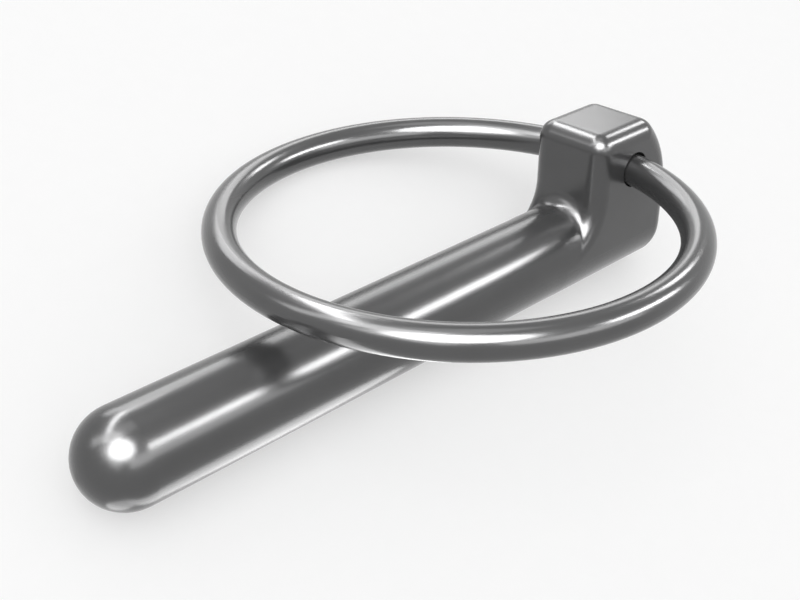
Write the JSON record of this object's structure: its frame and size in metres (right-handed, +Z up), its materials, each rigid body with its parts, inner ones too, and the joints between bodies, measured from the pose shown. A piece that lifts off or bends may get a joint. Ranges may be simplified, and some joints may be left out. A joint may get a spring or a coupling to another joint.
{
  "type": "lynch pin",
  "caption": "Forged steel lynch pin with a round, dome-tipped shank and a block head, whose cross bore carries a free-swinging wire ring that keeps the pin in its hole.",
  "frame": {"origin": "on the shank's axis, where the finished shank starts below the head", "axes": "+X along the shank towards its tip, +Z up with the part lying on its shank and one side of its ring"},
  "size_m": [0.048, 0.0291, 0.0158],
  "materials": {
    "pin_steel": "polished dark steel",
    "ring_steel": "polished spring steel wire"
  },
  "bodies": {
    "pin": {"pin": "pin_steel"},
    "ring": {"ring": "ring_steel"}
  },
  "joints": [
    {"name": "ring_swing", "type": "hinge", "parent": "pin", "child": "ring", "pos_m": [-0.0078, -0.00245, 0.00487], "axis": [0, -0.8933, -0.4496], "range_deg": [-1.9, 340.5]}
  ]
}
